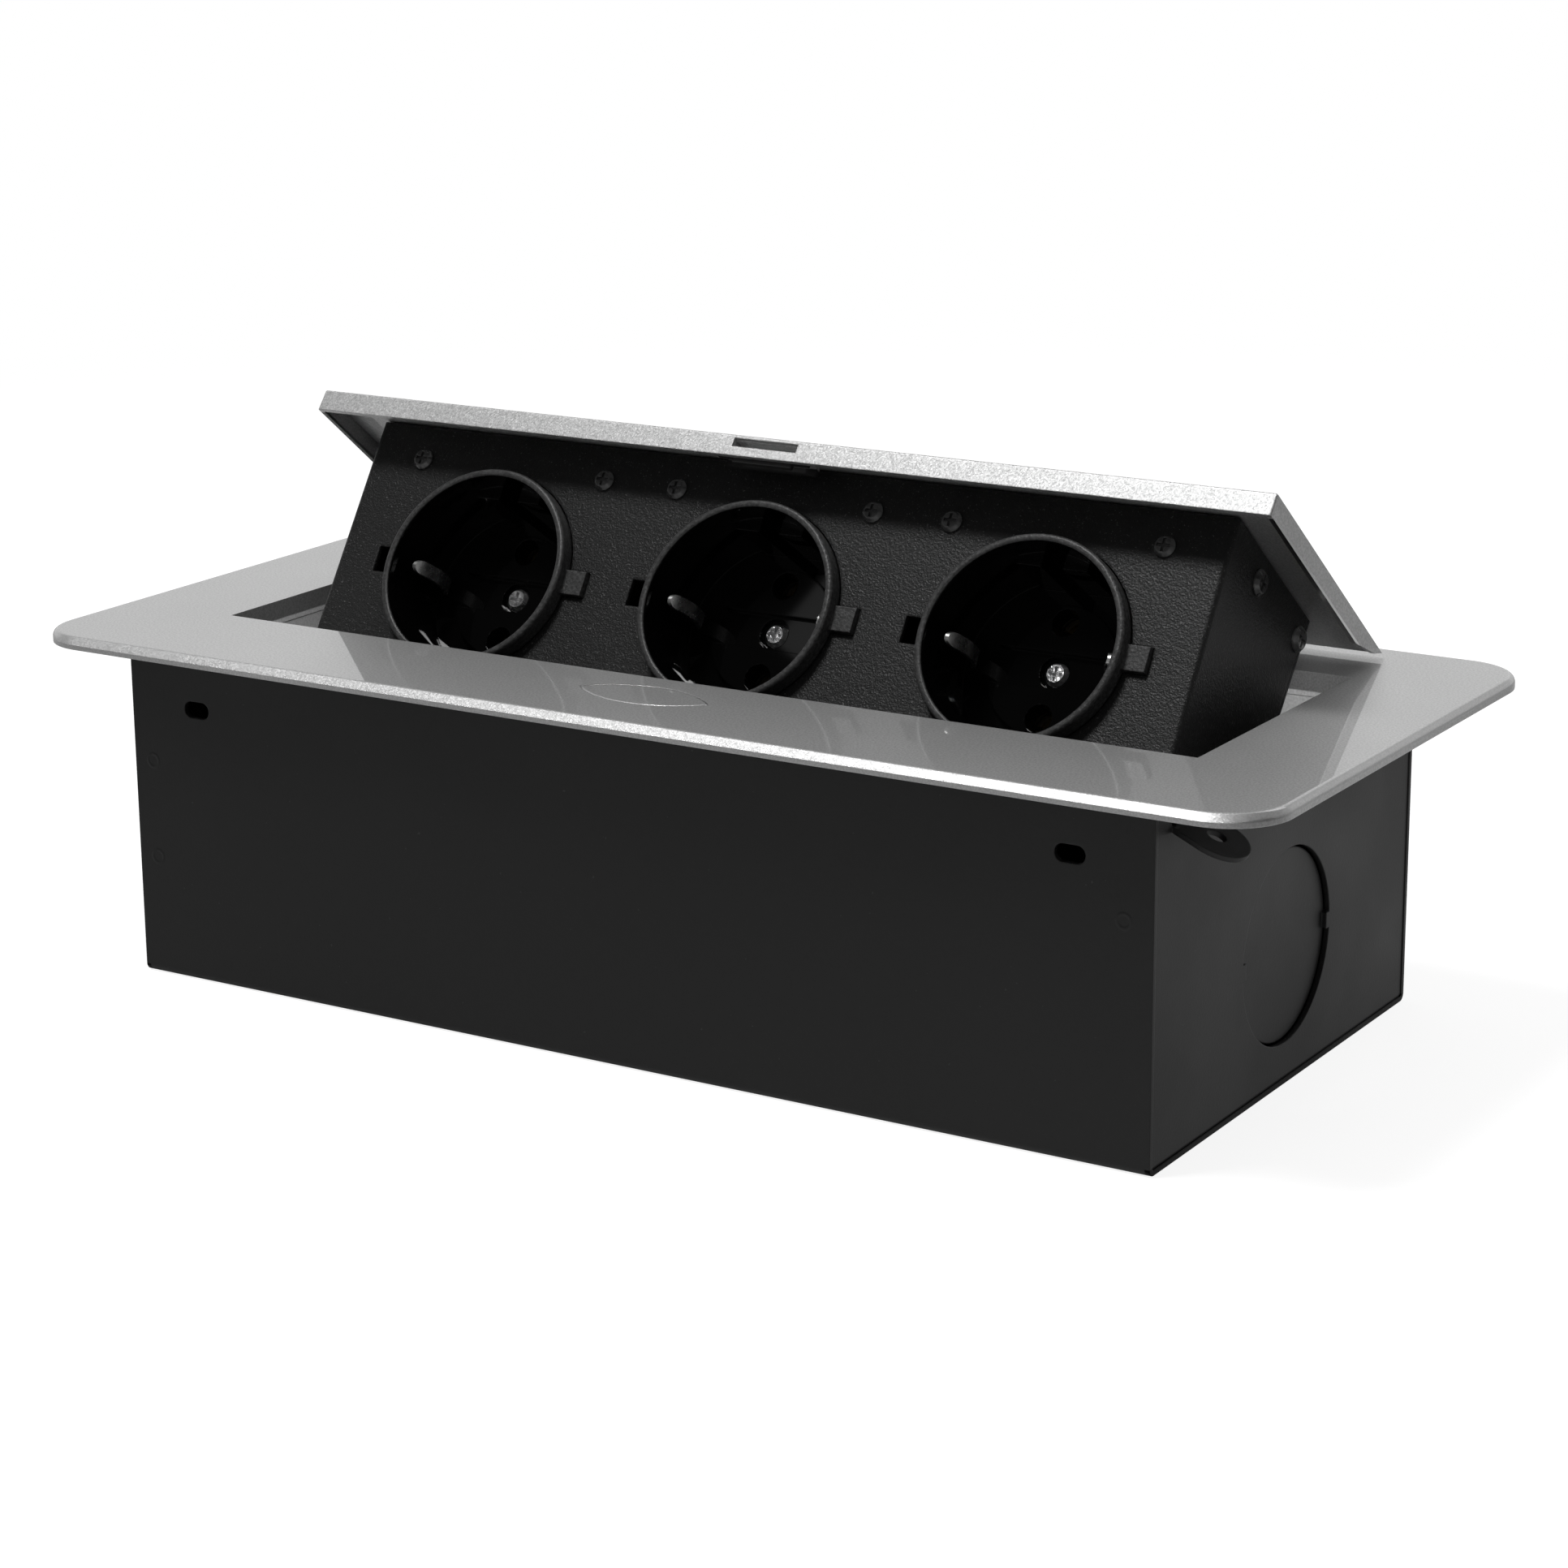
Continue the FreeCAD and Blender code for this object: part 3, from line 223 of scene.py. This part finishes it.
def edge_highlight_mask(g, x, z, rise, depth):
    """1 on the lower edge of the lid's end flanges, where a highlight is painted."""
    edge = (0.0304, 0.0311)
    above_plate = (0.0028, 0.0032)
    flange_start = (0.1047, 0.1049)
    behind_front = (-0.024, -0.0236)
    soft = 0.0001
    return g.overlap(
        g.span(rise, *edge, soft), g.ramp(z, *above_plate),
        g.ramp(g.math("ABSOLUTE", x), *flange_start), g.ramp(depth, *behind_front),
    )


def wall_mask(g, x, y, z):
    """1 on the walls of the plate's opening, below their top."""
    half_length = 0.1075
    front_to_back = (-0.0305, 0.0365)
    top = (-0.0016, -0.0012)
    soft = 0.0002
    return g.overlap(
        g.ramp(z, *top, 1.0, 0.0), g.span(x, -half_length, half_length, soft),
        g.span(y, *front_to_back, soft),
    )


def silver_paint(g):
    """Paint with metal flakes under a clear coat."""
    flake_size = 0.00022
    flake_tilt = 0.13
    edge_radius = 0.0003
    edge_outward = 4.5
    edge_forward = -0.55
    edge_upward = 0.72
    flaky_metal = 0.75
    dull_metal = 0.03
    place = g.position()
    x, y, z = g.split(place)
    rise = g.vector("DOT_PRODUCT", place, lid_out)
    depth = g.vector("DOT_PRODUCT", place, lid_back)
    catch = catch_shade_mask(g, x, rise, depth)
    rim, slant = rim_mask(g, place, z)
    edge_highlight = edge_highlight_mask(g, x, z, rise, depth)
    wall = wall_mask(g, x, y, z)
    grain = g.noise(size=0.0004, detail=1.0, roughness=0.6)
    cloud = g.stretch(g.noise(size=0.012, detail=3.0), 0.0, 0.12)
    colour = g.mix(cloud, g.mix(g.stretch(grain), 0.46, 0.6), 0.44)
    # Painted shade: the catch is darkened to the shade it sits in behind the flange
    colour = g.mix(catch, colour, 0.03)
    # The walls of the opening have a thinner, duller coat, and are painted lighter to lift the shade
    # inside the opening
    colour = g.mix(wall, colour, g.mix(g.noise(size=0.0005), 0.5, 0.95))
    # The rim is drawn in to a broad slanting edge
    colour = g.mix(rim, colour, g.mix(grain, 0.44, 0.62))
    normal = g.mix(rim, g.soft_edges(edge_radius), slant, "VECTOR")
    # Painted highlight: the lower edge of the lid's end flanges is painted white and barely metallic, and
    # faces outward and up so that it catches the light
    colour = g.mix(edge_highlight, colour, 1.0)
    facing = {0: g.math("MULTIPLY", x, edge_outward), 1: edge_forward, 2: edge_upward}
    normal = g.mix(edge_highlight, normal, g.add("ShaderNodeCombineXYZ", {}, facing).outputs[0], "VECTOR")
    # Each flake is tilted its own way
    flakes = g.add("ShaderNodeTexVoronoi", {}, {"Vector": g.position(1 / flake_size), "Scale": 1.0})
    tilt = g.scaled(g.vector("SUBTRACT", flakes.outputs["Color"], (0.5, 0.5, 0.5)), flake_tilt)
    normal = g.vector("NORMALIZE", g.vector("ADD", normal, tilt))
    dull = g.math("MAXIMUM", wall, edge_highlight)
    metal = g.math("MULTIPLY_ADD", dull, dull_metal - flaky_metal, flaky_metal)
    # Painted shade: the catch also loses its metal and coat, so that it stays dark
    outside_catch_shade = g.math("SUBTRACT", 1.0, catch)
    g.surface(
        Base_Color=colour, Metallic=g.math("MULTIPLY", outside_catch_shade, metal), Roughness=0.5,
        Specular_IOR_Level=0.0, Normal=normal, Coat_Weight=outside_catch_shade, Coat_Roughness=0.03, Coat_IOR=1.5,
    )


def ring_marks(g, x, z):
    """1 on thin rings round three points of the front and rear walls, 0 elsewhere."""
    places = ((-0.1068, -0.0216), (-0.1068, -0.0412), (0.1056, -0.0203))
    radius = 0.0013
    width = 0.0005
    total = 0.0
    for mark_x, mark_z in places:
        away = g.distance(g.math("SUBTRACT", x, mark_x), g.math("SUBTRACT", z, mark_z))
        off = g.math("ABSOLUTE", g.math("SUBTRACT", away, radius))
        total = g.math("ADD", total, g.ramp(off, 0.0, width, 1.0, 0.0))
    return total


def black_sheet(g):
    """Satin powder coat with a little dust in it, and painted shade along the foot of the end walls."""
    foot_top = (-0.0642, -0.0639)
    end_start = (0.11, 0.1105)
    dust_peaks = (0.79, 0.81)
    x, _, z = g.split(g.position())
    cloud = g.noise(size=0.03, detail=4.0)
    dust = g.ramp(g.noise(size=0.0011, detail=1.0), *dust_peaks, 0.0, 0.5)
    colour = g.mix(dust, g.mix(g.stretch(cloud), 0.006, 0.0085), 0.04)
    # Painted shade: the foot of the end walls, whose lower bend is in shade, is darkened to near black and
    # its gloss damped
    foot_shade = g.overlap(g.ramp(z, *foot_top, 1.0, 0.0), g.ramp(g.math("ABSOLUTE", x), *end_start))
    height = g.math("MULTIPLY", g.noise(size=0.0006, detail=3.0), 0.35)
    height = g.math("ADD", height, ring_marks(g, x, z))
    g.surface(
        Base_Color=g.mix(foot_shade, colour, 0.001), Metallic=foot_shade, Roughness=g.stretch(cloud, 0.42, 0.5),
        Specular_IOR_Level=0.42,
        Normal=g.bump(height, distance=0.0001, strength=0.6, edge_radius=0.0004),
    )


def black_wrinkle(g):
    """Powder coat with a fine wrinkle, with glints painted in as light specks here and there."""
    painted_glint_peaks = (0.64, 0.74)
    fine = g.noise(size=0.00035)
    height = g.math("ADD", g.noise(size=0.0007, roughness=0.6), g.math("MULTIPLY", fine, 0.7))
    # Painted highlight: the peaks of the fine noise are painted lighter as glints
    g.surface(
        Base_Color=g.mix(g.ramp(fine, *painted_glint_peaks), 0.009, 0.09), Roughness=0.44, Specular_IOR_Level=0.33,
        Normal=g.bump(height, distance=0.0004, strength=0.26, edge_radius=0.0008),
    )


def zinc_steel(g):
    cloud = g.noise(size=0.004, detail=4.0)
    height = g.noise(size=0.0008, detail=3.0)
    g.surface(
        Base_Color=g.mix(cloud, (0.62, 0.62, 0.63), 0.85), Metallic=1.0,
        Roughness=g.stretch(cloud, 0.2, 0.34), Normal=g.bump(height, distance=0.0002, strength=0.8),
    )


def spring_steel(g):
    colour = g.mottled(0.003, (0.26, 0.26, 0.27), 0.38)
    g.surface(Base_Color=colour, Metallic=1.0, Roughness=0.3)


def black_screw(g):
    cloud = g.noise(size=0.0012, detail=3.0)
    height = g.noise(size=0.0007)
    g.surface(
        Base_Color=g.mix(cloud, 0.06, 0.12), Metallic=0.6, Roughness=g.stretch(cloud, 0.1, 0.18),
        Specular_IOR_Level=0.9,
        Normal=g.bump(height, distance=0.00008, strength=0.6, edge_radius=0.0004),
    )


def socket_moulding(g):
    """Polished inside the wells, finely eroded on the rims and keys."""
    well_edge = (0.0192, 0.0194)
    pit_depths = (0.35, 0.75)
    place = g.position()
    along = g.math("WRAP", g.split(place)[0], socket_pitch / 2, -socket_pitch / 2)
    rise = g.vector("DOT_PRODUCT", g.vector("SUBTRACT", place, socket_centre), face_up)
    away = g.distance(along, rise)
    satin = g.ramp(away, *well_edge)
    gloss = g.mottled(0.01, 0.0012, 0.002)
    eroded = g.mix(g.ramp(g.noise(size=0.0006), *pit_depths), 0.026, 0.055)
    height = g.math("MULTIPLY", g.noise(size=0.0005), satin)
    g.surface(
        Base_Color=g.mix(satin, gloss, eroded), Roughness=g.ramp(away, *well_edge, 0.03, 0.42),
        Specular_IOR_Level=0.32,
        Normal=g.bump(height, distance=0.00012, strength=0.7, edge_radius=0.0003),
    )


def black_moulding(g):
    normal = g.bump(g.noise(size=0.0005), distance=0.00004, strength=0.6)
    g.surface(
        Base_Color=g.mottled(0.006, 0.014, 0.02), Roughness=0.55, Specular_IOR_Level=0.35, Normal=normal,
    )


def terminal_moulding(g):
    g.surface(Base_Color=g.mottled(0.004, (0.52, 0.52, 0.5), (0.6, 0.6, 0.58)), Roughness=0.4)


def grommet_rubber(g):
    g.surface(Base_Color=g.mottled(0.003, 0.014, 0.024), Roughness=0.7, Specular_IOR_Level=0.3)


def nickel_clip(g):
    cloud = g.noise(size=0.0025, detail=3.0)
    normal = g.bump(g.noise(size=0.0008), distance=0.00004, strength=0.5)
    g.surface(
        Base_Color=g.mix(cloud, (0.86, 0.86, 0.85), (0.93, 0.93, 0.92)), Metallic=1.0,
        Roughness=g.stretch(cloud, 0.25, 0.3), Normal=normal,
    )


def brass(g):
    colour = g.mottled(0.003, (0.4, 0.34, 0.22), (0.5, 0.42, 0.28))
    g.surface(Base_Color=colour, Metallic=1.0, Roughness=0.4)


# Each finish is made once and given to the pieces that the record lists for it
finishes = {}
for make in (
    silver_paint, black_sheet, black_wrinkle, zinc_steel, spring_steel, black_screw, socket_moulding,
    black_moulding, terminal_moulding, grommet_rubber, nickel_clip, brass,
):
    finishes[make.__name__] = bpy.data.materials.new(make.__name__)
    make(Graph(finishes[make.__name__]))
for entry in frame["record"]["subparts"]:
    for slot in frame["nodes"][entry["node"]].material_slots:
        slot.material = finishes[entry["material_slot"]]

# The button's spring is shown by a copy with its own mesh, tied to the housing
rigid = frame["nodes"]["button_spring"]
spring = rigid.copy()
spring.data = rigid.data.copy()
spring.name = "pressed_spring"
bpy.context.scene.collection.objects.link(spring)
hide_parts("button_spring")
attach(spring, "housing")
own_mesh(spring)


def floor_finish(g):
    """Pale with a shadow near the part, plain white farther off, and dimmer where the part reflects it."""
    left_to_right = (-0.1, 0.2)
    near_to_far = (0.27, 0.4)
    fade_to_white = (0.3, 0.8)
    place = g.position()
    reach = g.vector("LENGTH", place)
    path = g.add("ShaderNodeLightPath").outputs
    share = g.ramp(g.split(place)[0], *left_to_right, 0.16, 0.38)
    share = g.math("MULTIPLY", share, g.ramp(reach, *near_to_far, 1.0, 0.3))
    reflected = g.math("MULTIPLY", path["Is Glossy Ray"], share)
    seen = g.math("MAXIMUM", path["Is Camera Ray"], path["Is Transmission Ray"])
    seen = g.math("MAXIMUM", seen, reflected)
    matt = g.add("ShaderNodeBsdfDiffuse", {}, {"Color": 0.3}).outputs[0]
    glow = g.add("ShaderNodeEmission", {}, {"Color": 1.0, "Strength": 0.85}).outputs[0]
    near = g.add("ShaderNodeAddShader", {}, {0: matt, 1: glow}).outputs[0]
    far = g.add("ShaderNodeEmission", {}, {"Color": 1.0, "Strength": 1.0}).outputs[0]
    lit = g.add("ShaderNodeMixShader", {}, {0: g.ramp(reach, *fade_to_white), 1: near, 2: far}).outputs[0]
    g.show(g.add("ShaderNodeMixShader", {}, {0: seen, 1: matt, 2: lit}).outputs[0])


def studio_air(g):
    """White where seen, a low bright band behind the part in reflections, and a soft fill from above."""
    towards_back = (-0.5, 0.86, 0.0)
    side_to_back = (0.1, 0.65)
    band_top = (0.38, 0.6)
    level_to_overhead = (0.0, 0.8)
    ray = g.add("ShaderNodeTexCoord").outputs["Generated"]
    path = g.add("ShaderNodeLightPath").outputs
    height = g.split(ray)[2]
    around = g.ramp(g.vector("DOT_PRODUCT", ray, towards_back), *side_to_back, 0.17, 0.76)
    around = g.math("MAXIMUM", around, path["Is Camera Ray"])
    band = g.math("MULTIPLY", g.ramp(height, *band_top, 1.0, 0.14), around)
    overhead = g.ramp(height, *level_to_overhead, 0.2, 0.44)
    fill = g.add("ShaderNodeBackground", {}, {"Color": 1.0, "Strength": overhead}).outputs[0]
    white = g.add("ShaderNodeBackground", {}, {"Color": 1.0, "Strength": band}).outputs[0]
    seen = g.math("MAXIMUM", path["Is Camera Ray"], path["Is Glossy Ray"])
    seen = g.math("MAXIMUM", seen, path["Is Transmission Ray"])
    air = g.add("ShaderNodeMixShader", {}, {0: seen, 1: fill, 2: white}).outputs[0]
    g.show(air, "ShaderNodeOutputWorld")


# Floor under the part, far wider than the view
half = 6.0
level = size_before[0][2]
corners = [(-half, -half, level), (half, -half, level), (half, half, level), (-half, half, level)]
mesh = bpy.data.meshes.new("floor")
mesh.from_pydata(corners, [], [(0, 1, 2, 3)])
mesh.materials.append(bpy.data.materials.new("floor"))
floor_finish(Graph(mesh.materials[0]))
floor = bpy.data.objects.new("floor", mesh)
bpy.context.scene.collection.objects.link(floor)

bpy.context.scene.world = bpy.data.worlds.new("studio")
studio_air(Graph(bpy.context.scene.world))


def lamp(name, kind, target, direction, distance, power, **settings):
    """A lamp that far from its target and facing it, unseen by the camera."""
    data = bpy.data.lights.new(name, kind)
    data.energy = power
    for key, value in settings.items():
        setattr(data, key, value)
    obj = bpy.data.objects.new(name, data)
    towards = Vector(direction).normalized()
    obj.location = Vector(target) + towards * distance
    obj.rotation_euler = towards.to_track_quat("Z", "Y").to_euler()
    obj.visible_camera = False
    bpy.context.scene.collection.objects.link(obj)


# Soft boxes: direction, distance, width, height and power
for name, direction, distance, width, height, power in (
    ("key", (-0.2, -0.25, 0.947), 1.1, 0.25, 0.25, 8.4),
    ("side", (0.6, -0.35, 0.72), 1.6, 0.25, 0.4, 0.25),
    ("rear", (0.1, 0.75, 0.7), 1.6, 0.6, 0.4, 2),
    ("window", (-0.4976, -0.5389, 0.6797), 1.195, 0.025, 0.047, 0.002),
):
    lamp(
        name, "AREA", (0, 0, 0), direction, distance, power,
        shape="RECTANGLE", size=width, size_y=height,
    )

# Narrow beams on two corners of the opening: target, direction and power
beam_distance = 1.2
beam_angle = math.radians(2.0)
beam_start = 0.008
for name, target, direction, power in (
    ("right_corner", (0.1, 0.032, -0.002), (0.5, -0.8, 0.33), 26),
    ("left_corner", (-0.1066, -0.008, -0.003), (0.5, -0.8, 0.3), 18),
):
    lamp(
        name, "SPOT", target, direction, beam_distance, power,
        spot_size=beam_angle, spot_blend=1.0, shadow_soft_size=beam_start,
    )

# Camera, as it was solved from the photo
azimuth = math.radians(31.4998)
elevation = math.radians(15.4949)
roll = math.radians(-0.3655)
camera_place = (0.38812, -0.61747, 0.181306)
photo_pixels = 1932
focal_pixels = 4820.28
centre_pixels = (994.483, 942.656)
outward = Vector((math.sin(azimuth), -math.cos(azimuth), 0)) * math.cos(elevation)
back = outward + Vector((0, 0, math.sin(elevation)))
right = (-back).cross(Vector((0, 0, 1))).normalized()
up = right.cross(-back)
right, up = right * math.cos(roll) + up * math.sin(roll), up * math.cos(roll) - right * math.sin(roll)
placing = Matrix((right, up, back)).transposed().to_4x4()
placing.translation = camera_place
data = bpy.data.cameras.new("camera")
data.sensor_width = 36.0
data.lens = data.sensor_width * focal_pixels / photo_pixels
data.shift_x = 0.5 - centre_pixels[0] / photo_pixels
data.shift_y = centre_pixels[1] / photo_pixels - 0.5
data.clip_start = 0.01
camera = bpy.data.objects.new("camera", data)
camera.matrix_world = placing
bpy.context.scene.collection.objects.link(camera)
bpy.context.scene.camera = camera
bpy.context.scene.view_settings.view_transform = "Standard"
